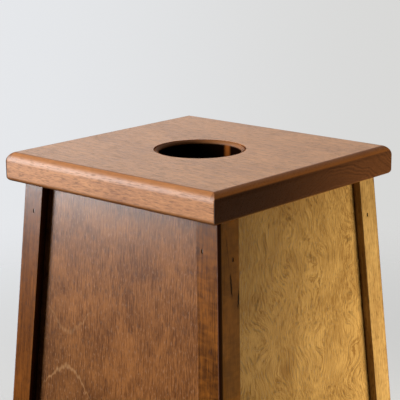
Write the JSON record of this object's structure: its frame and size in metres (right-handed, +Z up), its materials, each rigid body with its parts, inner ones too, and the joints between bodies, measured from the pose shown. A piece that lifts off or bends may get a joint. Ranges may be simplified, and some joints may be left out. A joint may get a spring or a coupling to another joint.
{
  "type": "wooden drop box",
  "caption": "Small tapered wooden box with leaning corner posts, recessed plywood panels and a thick lift-off lid with a round drop hole.",
  "frame": {"origin": "on the surface the box stands on, under the middle of the box", "axes": "+Z up, -Y towards the front panel, +X to the right seen from the front"},
  "size_m": [0.1916, 0.1798, 0.254],
  "materials": {
    "lid": "reddish-brown stain under satin varnish, solid board, end grain darker",
    "post": "reddish-brown stain under satin varnish, solid wood",
    "panel": "brown stain under satin varnish, birch plywood face",
    "rail": "bare sanded softwood",
    "floor": "bare plywood",
    "cleat": "bare sanded wood",
    "brad": "dull steel wire"
  },
  "bodies": {
    "box_body": {"post_front_left": "post", "post_front_right": "post", "post_back_right": "post", "post_back_left": "post", "panel_front": "panel", "panel_back": "panel", "panel_left": "panel", "panel_right": "panel", "top_rail_front": "rail", "top_rail_back": "rail", "top_rail_left": "rail", "top_rail_right": "rail", "bottom_rail_front": "rail", "bottom_rail_back": "rail", "bottom_rail_left": "rail", "bottom_rail_right": "rail", "floor_panel": "floor", "brad_front_left_side_rail_top": "brad", "brad_front_left_cross_rail_top": "brad", "brad_front_right_side_rail_top": "brad", "brad_front_right_cross_rail_top": "brad", "brad_back_right_side_rail_top": "brad", "brad_back_right_cross_rail_top": "brad", "brad_back_left_side_rail_top": "brad", "brad_back_left_cross_rail_top": "brad", "brad_front_left_side_rail_bottom": "brad", "brad_front_left_cross_rail_bottom": "brad", "brad_front_right_side_rail_bottom": "brad", "brad_front_right_cross_rail_bottom": "brad", "brad_back_right_side_rail_bottom": "brad", "brad_back_right_cross_rail_bottom": "brad", "brad_back_left_side_rail_bottom": "brad", "brad_back_left_cross_rail_bottom": "brad"},
    "lid": {"lid_board": "lid", "lid_cleat_front": "cleat", "lid_cleat_back": "cleat", "lid_cleat_left": "cleat", "lid_cleat_right": "cleat"}
  },
  "joints": [
    {"name": "lid_lift", "type": "slide", "parent": "box_body", "child": "lid", "axis": [0, 0, 1], "range_m": [0, 0.06]}
  ]
}
